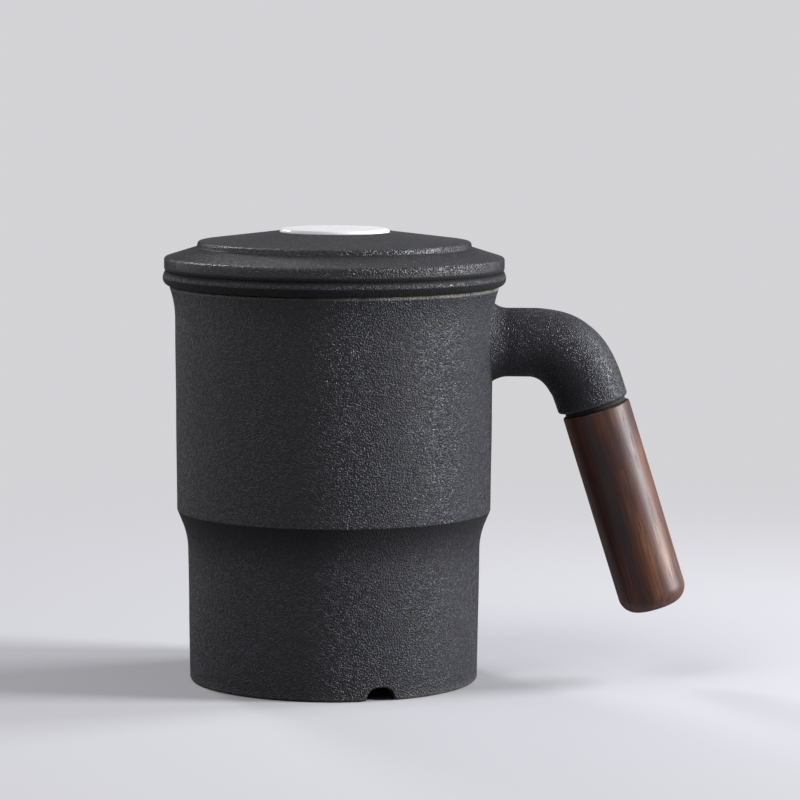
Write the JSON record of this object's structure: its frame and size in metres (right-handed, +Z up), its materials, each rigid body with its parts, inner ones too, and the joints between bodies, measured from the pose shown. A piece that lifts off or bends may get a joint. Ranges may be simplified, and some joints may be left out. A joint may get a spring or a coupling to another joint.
{
  "type": "lidded tea mug with infuser",
  "caption": "Stepped stoneware tea mug with a lift-out basket infuser, a loose crowned lid with a pale inlay, and a drooping side arm with a turned wood grip.",
  "frame": {"origin": "on the cup's axis, in the plane that the foot ring stands on", "axes": "+Z up along the cup's axis, +X towards the handle"},
  "size_m": [0.1411, 0.0922, 0.1217],
  "materials": {
    "body_glaze": "matte, finely granular charcoal glaze",
    "arm_glaze": "matte, finely granular charcoal glaze",
    "stud_steel": "plain turned steel",
    "seal_rubber": "matte black",
    "grip_wood": "oiled dark brown with fine lengthwise grain",
    "infuser_glaze": "matte, finely granular charcoal glaze",
    "lid_glaze": "matte, finely granular charcoal glaze",
    "inlay_adhesive": "cured adhesive",
    "inlay_porcelain": "gloss white"
  },
  "bodies": {
    "mug": {"mug_body": "body_glaze", "handle_arm": "arm_glaze", "grip_stud": "stud_steel", "grip_seal": "seal_rubber", "wood_grip": "grip_wood"},
    "infuser": {"infuser": "infuser_glaze"},
    "lid": {"lid": "lid_glaze", "inlay_bond": "inlay_adhesive", "lid_inlay": "inlay_porcelain"}
  },
  "joints": [
    {"name": "infuser_lift", "type": "slide", "parent": "mug", "child": "infuser", "axis": [0, 0, 1], "range_m": [0, 0.08]},
    {"name": "lid_lift", "type": "slide", "parent": "infuser", "child": "lid", "axis": [0, 0, 1], "range_m": [0, 0.03]}
  ]
}
